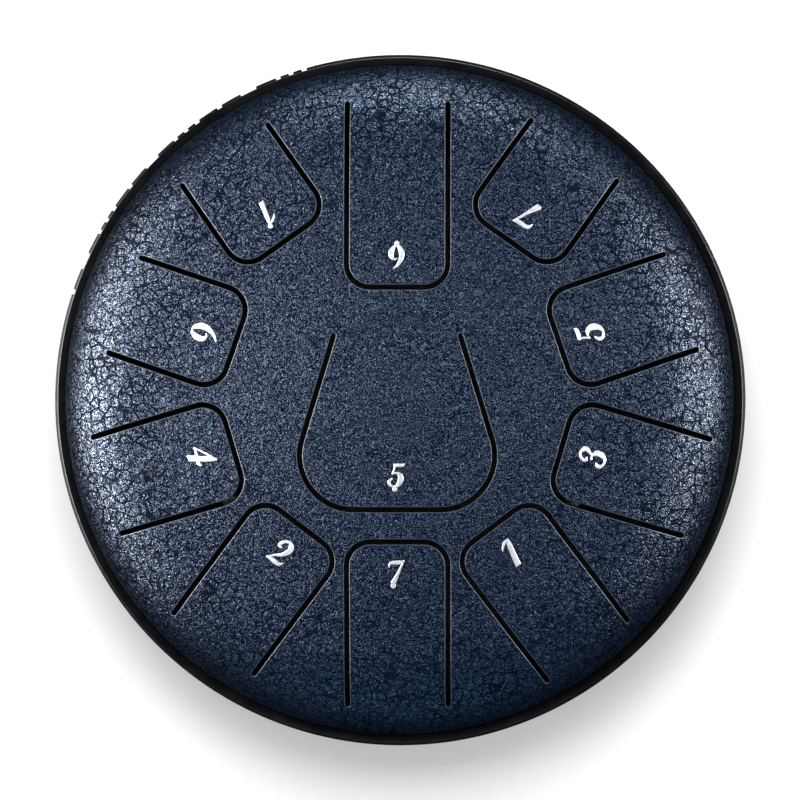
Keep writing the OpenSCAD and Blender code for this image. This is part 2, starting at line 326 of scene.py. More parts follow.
def domed_sheet(dome, rims, holes, wanted, grid):
    """Both faces of a domed sheet, with rounded edges. holes are (side, has_root), and rims are plain
    closed loops. Returns the pile, and each rim's outer and inner row of points."""
    loops, roots = [], []
    for side, has_root in holes:
        edge, _ = side(EDGE_R)
        root = root_line(edge[-1], edge[0]) if has_root else np.zeros((0, 2))
        loops.append((np.vstack([edge, root]), True))
        roots.append(len(root))
    boundary = np.vstack([loop for loop, _ in loops + rims])
    loose = away_from(grid, boundary, EDGE_GAP)
    flat, rows, triangles = triangulated(loops + rims, loose, wanted)
    pile = Pile()
    outer = pile.add(*dome.surface(flat, 0))
    inner_points, inner_normals = dome.surface(flat, SHEET_T)
    inner = pile.add(inner_points, -inner_normals)
    for a, b, c in triangles:
        pile.face((outer[a], outer[b], outer[c]))
        pile.face((inner[a], inner[c], inner[b]), 1)
    for (side, has_root), row, root_count in zip(holes, rows, roots):
        edge_count = len(row) - root_count
        top = edge_rows(pile, dome, side, 0, [outer[i] for i in row[:edge_count]])
        under = edge_rows(pile, dome, side, SHEET_T, [inner[i] for i in row[:edge_count]])
        rings = top + under[::-1]
        for i, (a, b) in enumerate(zip(rings, rings[1:])):
            pile.strip(a, b, closed=not has_root, kind=2 if i < len(top) - 1 else 1)
        if has_root:
            line = [row[edge_count - 1]] + row[edge_count:] + [row[0]]
            pile.strip([outer[i] for i in line], [inner[i] for i in line], kind=1)
            pile.face([ring[0] for ring in rings], 1)
            pile.face([ring[-1] for ring in rings][::-1], 1)
    rim_rows = [([outer[i] for i in row], [inner[i] for i in row]) for row in rows[len(holes):]]
    return pile, rim_rows


def turned_rows(pile, profile, first, last):
    """Rings for a profile of (radius, height, normal outwards, normal up, kind), sewn between two rows."""
    ring = circle(RIM_STEPS)
    row = first
    for radius, height, out, up, kind in profile:
        length = math.hypot(out, up)
        points = np.column_stack([ring * radius, np.full(RIM_STEPS, height)])
        normals = np.column_stack([ring * out / length, np.full(RIM_STEPS, up / length)])
        new = pile.add(points, normals)
        pile.strip(row, new, closed=True, kind=kind)
        row = new
    pile.strip(row, last, closed=True, kind=1)


def shell_skirt(dome):
    """Profile of a shell from RIM_R outside, down the wall, round the flange and back up inside."""
    profile = []
    up = dome.up
    shoulder_z = dome.crown - up * dome.shoulder_drop
    flange_z = SEAL_T / 2 + SHEET_T
    fillet = 0.5        # where the wall turns out into the flange
    edge = 0.25         # round the flange's rim and the wall's inner foot

    def put(radius, above_seam, out, rise, kind=0):
        profile.append((radius, seam_z + up * above_seam, out, up * rise, kind))

    def shoulder(radius, angles, facing, kind):
        for angle in angles:
            c, s = polar(angle)
            profile.append((dome.shoulder_x + radius * c, shoulder_z + up * radius * s,
                            facing * c, facing * up * s, kind))

    def corner(radius, above_seam, angles, kind=0):
        for angle in angles:
            c, s = polar(angle)
            put(radius + edge * c, above_seam + edge * s, c, s, kind)

    shoulder(SHOULDER_R, (24, 20, 16, 12, 8, 4, 0), 1, 0)
    wall_run = abs(shoulder_z - seam_z)
    for part in (0.66, 0.33):
        put(WALL_R, flange_z + fillet + (wall_run - flange_z - fillet) * part, 1, 0)
    for angle in (0, 30, 60, 90):
        c, s = polar(angle)
        put(WALL_R + fillet * (1 - c), flange_z + fillet * (1 - s), c, s)
    corner(FLANGE_R - edge, flange_z - edge, (90, 45, 0))
    corner(FLANGE_R - edge, SEAL_T / 2 + edge, (0, -45, -90))
    corner(WALL_R - SHEET_T + edge, SEAL_T / 2 + edge, (-90, -135, -180), 1)
    shoulder(SHOULDER_R - SHEET_T, (0, 6, 12), -1, 1)
    return profile


def rim_loop():
    return RIM_R * circle(RIM_STEPS)


# ---- materials ----

def nodes_of(name):
    material = bpy.data.materials.new(name)
    material.use_nodes = True
    tree = material.node_tree
    return material, tree, tree.nodes["Principled BSDF"]


def link(tree, source, target):
    tree.links.new(source, target)


def add_node(tree, kind, inputs=(), **settings):
    made = tree.nodes.new("ShaderNode" + kind)
    for key, value in settings.items():
        setattr(made, key, value)
    for key, value in dict(inputs).items():
        if isinstance(value, bpy.types.NodeSocket):
            tree.links.new(value, made.inputs[key])
        else:
            made.inputs[key].default_value = value
    return made


def in_millimetres(tree):
    """Object coordinates in millimetres."""
    place = add_node(tree, "TexCoord")
    scaled = add_node(tree, "VectorMath", {0: place.outputs["Object"], 1: (1 / MM, 1 / MM, 1 / MM)},
                      operation="MULTIPLY")
    return scaled.outputs[0]


def ramp(tree, value, stops, smooth=False):
    made = add_node(tree, "ValToRGB", {"Fac": value})
    band = made.color_ramp
    band.interpolation = "EASE" if smooth else "LINEAR"
    while len(band.elements) < len(stops):
        band.elements.new(0.5)
    for element, (position, colour) in zip(band.elements, stops):
        element.position = position
        element.color = (*colour, 1) if isinstance(colour, tuple) else (colour, colour, colour, 1)
    return made.outputs["Color"]


def noise(tree, place, size, detail=2.0, roughness=0.5):
    """Noise with features about size millimetres across."""
    made = add_node(tree, "TexNoise", {"Vector": place, "Scale": 1 / size, "Detail": detail,
                                       "Roughness": roughness})
    return made.outputs


def maths(tree, operation, a, b):
    return add_node(tree, "Math", {0: a, 1: b}, operation=operation).outputs[0]


def mix_colour(tree, share, a, b):
    made = add_node(tree, "Mix", data_type="RGBA")
    for index, value in ((0, share), (6, a), (7, b)):
        if isinstance(value, bpy.types.NodeSocket):
            tree.links.new(value, made.inputs[index])
        elif index == 0:
            made.inputs[0].default_value = value
        else:
            made.inputs[index].default_value = (*value, 1)
    return made.outputs[2]


def fine_bump(tree, shader, place, size, detail, strength, depth):
    """Tiny bumps all over a surface, with features of the given size and depth in millimetres."""
    grain = noise(tree, place, size, detail)["Fac"]
    bump = add_node(tree, "Bump", {"Strength": strength, "Distance": depth * MM, "Height": grain})
    link(tree, bump.outputs["Normal"], shader.inputs["Normal"])


def clouded(name, cloud, colours, rough, bump, values=(), reach=(0.3, 0.7)):
    """A material whose colour drifts between two in soft clouds, and its roughness too if that is a pair.
    cloud holds the noise's size, detail and roughness. bump holds fine_bump's numbers, or is None for a
    smooth surface. values sets further sockets of the shader."""
    material, tree, shader = nodes_of(name)
    place = in_millimetres(tree)
    drift = noise(tree, place, *cloud)["Fac"]
    link(tree, ramp(tree, drift, list(zip(reach, colours))), shader.inputs["Base Color"])
    if isinstance(rough, tuple):
        link(tree, ramp(tree, drift, list(zip((0.3, 0.7), rough))), shader.inputs["Roughness"])
    else:
        shader.inputs["Roughness"].default_value = rough
    for key, value in dict(values).items():
        shader.inputs[key].default_value = value
    if bump:
        fine_bump(tree, shader, place, *bump)
    return material


def creases(tree, place, cell, wander, width):
    """A network of fine creases: 1 on a crease and 0 on the pebbles between."""
    shift = noise(tree, place, cell * 1.1, 3.0, 0.6)
    centred = add_node(tree, "VectorMath", {0: shift["Color"], 1: (0.5, 0.5, 0.5)}, operation="SUBTRACT")
    pushed = add_node(tree, "VectorMath", {0: centred.outputs[0], "Scale": wander}, operation="SCALE")
    moved = add_node(tree, "VectorMath", {0: place, 1: pushed.outputs[0]}, operation="ADD")
    cells = add_node(tree, "TexVoronoi", {"Vector": moved.outputs[0], "Scale": 1 / cell},
                     feature="DISTANCE_TO_EDGE")
    return ramp(tree, cells.outputs["Distance"], [(0.0, 1.0), (width, 0.0)], True)


WALL_STRETCH = 0.65       # the grain is drawn out down the walls, as the sheet was when it was pressed


def leather_paint():
    """Navy powder coat with a fine leather grain and faint wrinkles, with painted shade darkening its
    creases and pale tips that are painted highlights.
    """
    material, tree, shader = nodes_of("navy_leather_paint")
    place = add_node(tree, "VectorMath", {0: in_millimetres(tree), 1: (1.0, 1.0, WALL_STRETCH)},
                     operation="MULTIPLY").outputs[0]

    # Wide creases, weaker towards the middle of the drum and in some patches, then fine ones
    wide = creases(tree, place, 2.3, 1.2, 0.13)
    patch = noise(tree, place, 9.0, 3.0, 0.6)["Fac"]
    flat = add_node(tree, "VectorMath", {0: place, 1: (1.0, 1.0, 0.0)}, operation="MULTIPLY").outputs[0]
    across = add_node(tree, "VectorMath", {0: flat}, operation="LENGTH").outputs["Value"]
    outer = ramp(tree, maths(tree, "DIVIDE", across, WALL_R), [(0.35, 0.25), (0.85, 1.0)])
    wide_here = maths(tree, "MULTIPLY", wide, ramp(tree, patch, [(0.38, 0.5), (0.58, 1.0)]))
    wide_here = maths(tree, "MULTIPLY", wide_here, outer)
    fine = creases(tree, place, 1.0, 0.8, 0.20)
    lines = maths(tree, "MAXIMUM", wide_here, maths(tree, "MULTIPLY", fine, 0.34))

    grit = noise(tree, place, 0.28, 1.0, 0.5)["Fac"]
    pebble = noise(tree, place, 0.8, 2.0, 0.55)["Fac"]
    # Pale tips where both the grit and the pebbles are high: painted highlights on the tops of the grain
    tips = maths(tree, "MULTIPLY", ramp(tree, grit, [(0.48, 0.0), (0.66, 1.0)]),
                 ramp(tree, pebble, [(0.38, 0.25), (0.60, 1.0)]))
    tips = maths(tree, "MULTIPLY", tips, maths(tree, "SUBTRACT", 1.0, lines))

    base = ramp(tree, grit, [(0.42, (0.0004, 0.0030, 0.0120)), (0.60, (0.0014, 0.0100, 0.0310))])
    # Painted highlight: the pale colour on the tips stands in for the sheen that the grain's tops catch
    base = mix_colour(tree, maths(tree, "MULTIPLY", tips, 0.7), base, (0.0115, 0.030, 0.067))
    # Painted shade: the creases are darkened nearly to black, as if shadowed
    base = mix_colour(tree, maths(tree, "MULTIPLY", lines, 0.8), base, (0.0002, 0.0012, 0.0040))
    link(tree, base, shader.inputs["Base Color"])
    rough = maths(tree, "ADD", ramp(tree, grit, [(0.3, 0.23), (0.7, 0.29)]),
                  maths(tree, "MULTIPLY", lines, 0.3))
    link(tree, rough, shader.inputs["Roughness"])
    shine = maths(tree, "MULTIPLY", ramp(tree, grit, [(0.43, 0.0), (0.57, 1.0)]),
                  ramp(tree, pebble, [(0.34, 0.45), (0.62, 1.0)]))
    shine = maths(tree, "SUBTRACT", shine, lines)
    link(tree, maths(tree, "MAXIMUM", shine, 0.02), shader.inputs["Specular IOR Level"])
    shader.inputs["Specular Tint"].default_value = (0.70, 0.79, 1.0, 1)

    height = maths(tree, "MULTIPLY", grit, 0.13)
    height = maths(tree, "ADD", height, maths(tree, "MULTIPLY", pebble, 0.15))
    height = maths(tree, "SUBTRACT", height, maths(tree, "MULTIPLY", lines, 0.10))
    bump = add_node(tree, "Bump", {"Strength": 1.0, "Distance": MM, "Height": height})
    link(tree, bump.outputs["Normal"], shader.inputs["Normal"])
    return material


def edge_paint():
    """Thin, smooth paint on the rounded edges of the slots, paler than the faces: a painted highlight along
    the edges.
    """
    return clouded("pale_edge_highlight_paint", (1.5, 3.0, 0.6), ((0.008, 0.014, 0.028), (0.036, 0.044, 0.064)),
                   (0.50, 0.38), None, {"Specular IOR Level": 0.40}, (0.35, 0.65))


def inner_primer():
    """Dull dark primer inside the shells."""
    return clouded("inner_primer", (6.0, 4.0, 0.6), ((0.010, 0.012, 0.018), (0.022, 0.026, 0.036)),
                   0.8, (0.5, 3.0, 0.5, 0.06))


def label_silver():
    """Bright satin silver label, with faint clouding and tiny pits."""
    return clouded("label_silver", (1.3, 3.0, 0.5), ((0.46, 0.46, 0.49), (0.60, 0.60, 0.63)),
                   (0.26, 0.38), (0.3, 2.0, 0.3, 0.03), {"Metallic": 0.36}, (0.32, 0.58))


def black_rubber(name, dark, pale, rough, shine=0.5):
    """Moulded rubber with a fine matt skin and a little dust."""
    material, tree, shader = nodes_of(name)
    place = in_millimetres(tree)
    cloud = noise(tree, place, 5.0, 4.0, 0.6)["Fac"]
    dust = noise(tree, place, 0.5, 3.0, 0.7)["Fac"]
    colour = ramp(tree, cloud, [(0.3, (dark, dark, dark * 1.08)), (0.7, (pale, pale, pale * 1.08))])
    dust_share = maths(tree, "MULTIPLY", ramp(tree, dust, [(0.6, 0.0), (0.8, 1.0)]), 0.25)
    colour = mix_colour(tree, dust_share, colour, (0.09, 0.09, 0.095))
    link(tree, colour, shader.inputs["Base Color"])
    link(tree, ramp(tree, cloud, [(0.3, rough - 0.06), (0.7, rough + 0.08)]), shader.inputs["Roughness"])
    shader.inputs["Specular IOR Level"].default_value = shine
    fine_bump(tree, shader, place, 0.28, 2.0, 0.6, 0.05)
    return material


def plated_steel(name, dark, pale):
    """Plated or blackened steel with a fine turned grain."""
    return clouded(name, (2.0, 4.0, 0.6), [(level, level, level * 1.04) for level in (dark, pale)],
                   (0.28, 0.42), (0.2, 2.0, 0.3, 0.03), {"Metallic": 1.0})


def nylon():
    """Black nylon, waxy and slightly clouded. Its black is partly painted shade: the washers are darkened
    so that they read as the unlit inside of the drum through the slots.
    """
    return clouded("shade_black_nylon", (3.0, 3.0, 0.6), ((0.005, 0.005, 0.006), (0.010, 0.010, 0.011)),
                   (0.45, 0.58), (0.4, 2.0, 0.3, 0.03))


paint = leather_paint()
edge_highlight_paint = edge_paint()
primer = inner_primer()
silver = label_silver()
trim_rubber = black_rubber("trim_rubber", 0.003, 0.006, 0.30, 0.12)
foot_rubber = black_rubber("foot_rubber", 0.006, 0.011, 0.62, 0.25)
sealant = black_rubber("sealant", 0.05, 0.08, 0.66)
zinc = plated_steel("zinc_steel", 0.50, 0.68)
# Partly painted shade: the nuts are made near black so that they read as the unlit inside of the drum
# through the slots
nut_shade_steel = plated_steel("black_steel", 0.02, 0.04)
shade_black_nylon = nylon()


# ---- camera, light and floor ----

def camera():
    """Almost straight down on the playing face, with the drum filling most of the view."""
    data = bpy.data.cameras.new("camera")
    distance = 0.9              # metres above the seam
    width_seen = 0.1801         # metres across the view at that distance
    aside = (0.017, -0.006)     # metres between the lens and the drum's axis
    data.sensor_width = 36
    data.lens = data.sensor_width * distance / width_seen
    data.clip_start, data.clip_end = 0.05, 20
    made = bpy.data.objects.new("camera", data)
    bpy.context.scene.collection.objects.link(made)
    made.location = (*aside, seam_z * MM + distance)
    made.rotation_euler = (-math.atan2(aside[1], distance), math.atan2(aside[0], distance), 0)
    bpy.context.scene.camera = made


AIM = Vector((0, 0, 0.05))      # metres; the lamps point at the middle of the drum


def softbox(name, centre, width, height, radiance, colour=(1, 1, 1), matt=False):
    """A rectangular lamp, in metres, aimed at the drum. A matt lamp lights surfaces evenly and shows in
    no reflection, and any other lamp shows only in reflections."""
    data = bpy.data.lights.new(name, "AREA")
    data.shape = "RECTANGLE"
    data.size, data.size_y = width, height
    data.energy = radiance * math.pi * width * height
    data.color = colour
    lamp = bpy.data.objects.new(name, data)
    bpy.context.scene.collection.objects.link(lamp)
    lamp.location = centre
    lamp.rotation_mode = "QUATERNION"
    lamp.rotation_quaternion = (AIM - Vector(centre)).to_track_quat("-Z", "Y")
    lamp.visible_glossy = not matt
    lamp.visible_diffuse = matt


def studio():
    scene = bpy.context.scene
    scene.view_settings.view_transform = "Standard"
    world = bpy.data.worlds.new("studio")
    world.use_nodes = True
    background = world.node_tree.nodes["Background"]
    background.inputs["Color"].default_value = (0.98, 0.99, 1.0, 1)
    background.inputs["Strength"].default_value = 0.88
    scene.world = world
    world.cycles_visibility.glossy = False
    softbox("key", (-0.02, 0.40, 1.30), 0.5, 0.5, 17.5, matt=True)
    softbox("left", (-0.80, 0.04, 0.125), 0.75, 0.24, 80.0, (0.92, 0.96, 1.0))
    softbox("left_high", (-0.62, 0.08, 0.80), 0.6, 0.60, 20.0, (0.93, 0.96, 1.0))
    softbox("right", (0.80, 0.10, 0.125), 0.6, 0.24, 52.0, (0.92, 0.96, 1.0))
    softbox("right_high", (0.64, 0.10, 0.78), 0.5, 0.60, 7.5, (0.93, 0.96, 1.0))
    softbox("front", (0.0, -0.75, 0.18), 0.9, 0.3, 2.2, (0.50, 0.78, 1.0))
    softbox("back", (0.05, 0.85, 0.13), 0.6, 0.26, 32.0, (0.80, 0.90, 1.0))


def pale_floor():
    data = bpy.data.meshes.new("floor")
    half = 4.0                  # metres
    corners = [(-half, -half, 0), (half, -half, 0), (half, half, 0), (-half, half, 0)]
    data.from_pydata(corners, [], [(0, 1, 2, 3)])
    floor = bpy.data.objects.new("floor", data)
    floor.location.z = -0.02 * MM
    bpy.context.scene.collection.objects.link(floor)
    floor.visible_glossy = False
    data.materials.append(clouded("pale_floor", (60.0, 2.0, 0.5), ((0.86,) * 3, (0.88,) * 3), 0.9, None,
                                  {"Specular IOR Level": 0.0}))


camera()
studio()
pale_floor()


# ---- shells and tongues ----

def slot_hole(tongue, side):
    """One side of a tongue's slot, as a hole that has a root."""
    return (lambda offset: slot_side(tongue, offset, side)), True


def outside_holes(holes):
    """A test for the points that lie outside every hole."""
    loops = [side(EDGE_R)[0] for side, _ in holes]
    return lambda points: ~np.any([inside(points, loop) for loop in loops], axis=0)


def sheet_piece(pile, name, node):
    """A piece of painted sheet in place of a CAD node."""
    piece = pile.mesh(name, [paint, primer, edge_highlight_paint])
    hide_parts(node)
    return piece


def whole_shell(dome, holes, grid, name, node):
    """A domed shell with its holes, its wall and its flange."""
    pile, rims = domed_sheet(dome, [(rim_loop(), True)], holes, outside_holes(holes), grid)
    turned_rows(pile, shell_skirt(dome), *rims[0])
    piece = sheet_piece(pile, name, node)
    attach(piece, "drum")


def upper_shell():
    holes = [slot_hole(tongue, 1) for tongue in TONGUES]
    whole_shell(UPPER_DOME, holes, polar_grid(RIM_R, GRID), "upper_shell", "top_shell")


def tongue_piece(tongue):
    name, direction, tip, length = tongue[:4]
    outline = slot_side(tongue, EDGE_R, -1)[0]
    grid = polar_grid(RIM_R, GRID)
    grid = grid[inside(grid, outline)]
    pile, _ = domed_sheet(UPPER_DOME, [], [slot_hole(tongue, -1)],
                          lambda middles: inside(middles, outline), grid)
    piece = sheet_piece(pile, "tongue_plate_" + name, "tongue_" + name)
    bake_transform(piece)


def lower_shell():
    def round_hole(centre, radius, steps):
        return (lambda offset: circle_side(centre, radius, offset, steps)), False

    holes = [round_hole((0, 0), SOUND_HOLE_R, 96)]
    holes += [round_hole(FOOT_RING_R * polar(angle), SCREW_HOLE_R, 24) for _, angle in FEET]
    grid = polar_grid(RIM_R, GRID * 1.3)
    whole_shell(LOWER_DOME, holes, grid[outside_holes(holes)(grid)], "lower_shell", "bottom_shell")


upper_shell()
for tongue in TONGUES:
    tongue_piece(tongue)
lower_shell()


# ---- note labels ----

# Pen strokes of each digit, as in the CAD source: knots (x, y, width) in tenths of its height, about
# its middle, then the sideways place of its octave dot
STROKES = {
    "1": ([[(-2.6, 2.3, 0.3), (-1.6, 3.5, 0.9), (0, 4.5, 1), (1.4, 4.8, 0.4)],
           [(1.15, 4.5, 0.9), (0.55, 2.4, 1.75), (-0.35, -1.4, 2), (-1.3, -5.6, 2.2)]], 1.4),
    "2": ([[(-0.9, 1.35, 0.5), (-1.75, 1.25, 1.1), (-2.15, 2.2, 1.25), (-1.2, 3.7, 1.1), (0.4, 4.35, 1.15),
            (1.8, 3.3, 1.8), (1.9, 1.6, 2), (0.6, -0.6, 1.35), (-1.5, -2.4, 0.85), (-3.1, -4.5, 0.6)],
           [(-3.1, -4.2, 0.9), (-1.6, -4.05, 1.5), (0.6, -4.2, 1.6), (1.9, -3.9, 1.2),
            (2.7, -2.7, 0.3)]], 0),
    "3": ([[(-0.7, 2, 0.5), (-1.55, 1.95, 1.1), (-1.95, 2.8, 1.2), (-1.1, 4.1, 1), (0.5, 4.5, 1),
            (1.85, 3.6, 1.65), (1.85, 2.4, 1.6), (0.5, 0.7, 0.6)],
           [(-0.9, 0.25, 0.9), (0.2, 0.3, 0.8), (1.5, -0.7, 1.7), (1.6, -2.4, 2.1), (0.4, -4.3, 1.1),
            (-1.2, -4.45, 0.9), (-2.5, -3.7, 1.2), (-2.6, -2.5, 1.35), (-1.7, -1.75, 0.5)]], 0),
    "4": ([[(2.5, 4.7, 0.4), (0.3, 2.6, 0.8), (-2.1, 0.1, 0.75), (-3.7, -1.7, 0.6)],
           [(-3.7, -1.6, 0.6), (-1, -1.7, 1.15), (1.8, -1.85, 1.35), (2.9, -0.9, 0.3)],
           [(2.2, 4.4, 1.1), (1.3, 1.7, 1.9), (0.1, -2, 2.1), (-1.2, -5.6, 2.3)]], 0),
    "5": ([[(-0.9, 4.2, 1.3), (1, 4.1, 1.5), (2.5, 4.2, 1.2), (3.1, 4.7, 0.4)],
           [(-0.7, 4.3, 0.8), (-1.15, 2.3, 0.75), (-1.8, 0.6, 0.65)],
           [(-1.9, 0.7, 0.5), (-0.3, 1, 0.9), (1.2, 0.2, 1.8), (1.6, -1.6, 2.4), (0.7, -3.6, 1.8),
            (-1, -4.5, 0.9), (-2.7, -4, 1.1), (-3.25, -2.7, 1.4), (-2.4, -1.5, 1),
            (-1.8, -1.35, 0.4)]], -0.9),
    "6": ([[(1.6, 4.75, 0.5), (-0.3, 3.2, 1.3), (-1.7, 0.6, 2), (-1.85, -1.9, 2.3), (-0.9, -4, 1.5),
            (0.5, -4.7, 0.5)],
           [(0, 0.5, 0.4), (1, 0.95, 0.9), (2.3, -0.2, 1.9), (2.3, -2.2, 2.2), (1.4, -4, 1.4),
            (0.3, -4.75, 0.4)]], 0.1),
    "7": ([[(-3.3, 2, 0.4), (-2.9, 3.4, 1.1), (-1.6, 3.95, 1.5), (0.8, 4, 1.6), (2.3, 4.3, 1.2),
            (3, 4.75, 0.4)],
           [(2.9, 4.7, 0.5), (1.7, 2.4, 0.9), (0.5, -0.3, 1.2), (-0.7, -2.7, 1.8),
            (-1.5, -4.2, 2.1)]], -1.6)}
KNOT_STEPS = 9            # points along a stroke from one knot to the next
LABEL_GRID = 0.11         # between the points of a label's face
LABEL_BEVEL = 0.2         # width of the bevel round a label
LABEL_EDGE = 0.5          # share of the thickness that stands upright below the bevel
SLOPE_STEP = 0.02         # step either way when the slope of the distance is measured


def pen_path(knots):
    """Points (x, y, width) along a smooth curve through the knots."""
    knots = np.array(knots, float)
    path = []
    for i in range(len(knots) - 1):
        a, b, c, d = (knots[min(max(k, 0), len(knots) - 1)] for k in range(i - 1, i + 3))
        for step in range(KNOT_STEPS):
            u = step / KNOT_STEPS
            path.append((2 * b + (c - a) * u + (2 * a - 5 * b + 4 * c - d) * u ** 2
                         + (3 * b - a - 3 * c + d) * u ** 3) / 2)
    path.append(knots[-1])
    return np.array(path)


def pen_loop(path):
    """The outline of a pen stroke, with round ends."""
    along = np.gradient(path[:, :2], axis=0)
    along /= np.linalg.norm(along, axis=1)[:, None]
    across = np.column_stack([-along[:, 1], along[:, 0]])
    half = path[:, 2:] / 2
    left, right = path[:, :2] + half * across, path[:, :2] - half * across
    caps = [math.radians(a) for a in (30, 60, 90, 120, 150)]
    ahead = [path[-1, :2] + half[-1] * (math.sin(a) * along[-1] - math.cos(a) * across[-1]) for a in caps]
    behind = [path[0, :2] + half[0] * (math.cos(a) * across[0] - math.sin(a) * along[0]) for a in caps]
    return np.vstack([right, ahead, left[::-1], behind])


def stroke_distance(points, path):
    """Signed distance from a pen stroke, negative inside."""
    nearest = np.full(len(points), 1e9)
    for a, b in zip(path, path[1:]):
        run = b[:2] - a[:2]
        share = np.clip((points - a[:2]) @ run / (run @ run), 0, 1)
        gap = np.linalg.norm(points - a[:2] - share[:, None] * run, axis=1)
        nearest = np.minimum(nearest, gap - (a[2] + (b[2] - a[2]) * share) / 2)
    return nearest


def label_drawing(digit, octave):
    """The strokes of a label in millimetres, its dot and the height that the digit is cut off at."""
    strokes, dot_x = STROKES[digit]
    digit_h = LABEL_H if octave == 0 else LABEL_H - 2 * DOT_R + DOT_OVERLAP
    shift = np.array([0.0, -octave * (LABEL_H - digit_h) / 2, 0.0])
    paths = [pen_path(knots) * (digit_h / 10) + shift for knots in strokes]
    dot = None if octave == 0 else np.array([dot_x * digit_h / 10, octave * (LABEL_H - 2 * DOT_R) / 2])
    return paths, dot, (shift[1] - digit_h / 2, shift[1] + digit_h / 2)


def label_face(digit, octave):
    """A label's flat face: its points, its triangles, and a rule for the signed distance from its edge."""
    paths, dot, (low_y, high_y) = label_drawing(digit, octave)

    def distance(points):
        found = np.min([stroke_distance(points, path) for path in paths], axis=0)
        found = np.maximum(found, np.maximum(low_y - points[:, 1], points[:, 1] - high_y))
        if dot is not None:
            found = np.minimum(found, np.linalg.norm(points - dot, axis=1) - DOT_R)
        return found

    half = LABEL_H * 0.6
    loops = [(pen_loop(path), True) for path in paths]
    loops += [(np.array([[-half, y], [half, y]]), False) for y in (low_y, high_y)]
    if dot is not None:
        loops.append((dot + DOT_R * circle(24), True))
    ticks = np.arange(-half, half, LABEL_GRID)
    grid = np.stack(np.meshgrid(ticks, ticks), axis=-1).reshape(-1, 2)
    grid[:, 0] += (np.arange(len(grid)) // len(ticks) % 2) * LABEL_GRID / 2
    grid = grid[distance(grid) < -0.4 * LABEL_GRID]
    flat, _, triangles = triangulated(loops, grid, lambda middles: distance(middles) < 0)
    return flat, triangles, distance


def lone_edges(triangles):
    """The edges that only one triangle has, each as that triangle runs along it."""
    pairs = [(t[k], t[(k + 1) % 3]) for t in triangles.tolist() for k in range(3)]
    found = set(pairs)
    return [(a, b) for a, b in pairs if (b, a) not in found]


def note_label(tongue):
    """A raised label whose bevelled edge stands on the tongue's dome."""
    name, direction, tip, _, _, _, _, digit, octave = tongue
    flat, triangles, distance = label_face(digit, octave)
    steps = SLOPE_STEP * np.eye(2)
    slope = np.column_stack([distance(flat + step) - distance(flat - step) for step in steps])
    slope /= np.maximum(np.linalg.norm(slope, axis=1), 1e-6)[:, None]
    in_bevel = 1 - np.clip(-distance(flat) / LABEL_BEVEL, 0, 1)
    rise = np.sqrt(1 - in_bevel ** 2)
    bevel_h = LABEL_T * (1 - LABEL_EDGE)
    lift = LABEL_GLUE + LABEL_T * LABEL_EDGE + bevel_h * rise

    up = -90 if tip < 0 else 90
    place = turned(turned(flat, up) + [tip + LABEL_INSET, 0.0], direction)
    slope = turned(turned(slope, up), direction)
    skin, up_ways = UPPER_DOME.surface(place, 0)
    outwards = np.column_stack([slope, np.zeros(len(flat))])
    top_ways = outwards * (in_bevel / LABEL_BEVEL)[:, None] + up_ways * (rise / bevel_h)[:, None]
    top_ways /= np.linalg.norm(top_ways, axis=1)[:, None]
    pile = Pile()
    top = pile.add(skin + up_ways * lift[:, None], top_ways)
    under = pile.add(skin + up_ways * LABEL_GLUE, -up_ways)
    side = pile.add(skin + up_ways * LABEL_GLUE, outwards)
    for a, b, c in triangles:
        pile.face((top[a], top[b], top[c]))
        pile.face((under[a], under[c], under[b]))
    for a, b in lone_edges(triangles):
        pile.face((top[a], side[a], side[b], top[b]))
    piece = pile.mesh("note_label_" + name, [silver])
    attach(piece, "note_" + name)
    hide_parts("label_" + name)


for tongue in TONGUES:
    note_label(tongue)


# ---- edge trim ----

# Blocks of the trim's raised band, in degrees: one run of (start, width), where the first run starts,
# the number of runs and the arc in which the gaps between blocks are cut
BLOCK_RUN = [(0, 3.8), (4.5, 3.8), (9, 1.65), (11.25, 1.65), (13.5, 3.8)]
RUN_ANGLE = 20
FIRST_RUN = 97.5
RUNS = 4
CUT_ARC = (104, 164)
BAND_LAND = 1.0           # plain land above and below the band
BAND_SOFT = 0.22          # width of a block's rounded flank
TRIM_STEP = 0.75          # greatest angle between two rows of points, in degrees
TRIM_CORNER = 0.42        # cut at each corner of the trim's section
# Heights of the points up the band, as shares of half its height
WALL_SHARES = (0.999, 0.93, 0.86, 0.6, 0.3, 0, -0.3, -0.6, -0.86, -0.93, -0.999)


def finished(pile, name, material, node):
    """Makes a piece that rides on the drum in place of a CAD node."""
    piece = pile.mesh(name, [material], own_normals=False)
    piece.data.set_sharp_from_angle(angle=math.radians(35))
    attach(piece, "drum")
    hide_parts(node)


def smooth_step(value):
    share = np.clip(value, 0, 1)
    return share * share * (3 - 2 * share)


def block_gaps():
    """The gaps between blocks, as (first angle, last angle)."""
    gaps = []
    for run in range(RUNS):
        starts = [start for start, _ in BLOCK_RUN[1:]] + [RUN_ANGLE]
        for (start, width), after in zip(BLOCK_RUN, starts):
            base = FIRST_RUN + run * RUN_ANGLE
            if CUT_ARC[0] < base + start + width < CUT_ARC[1]:
                gaps.append((base + start + width, base + after))
    return gaps


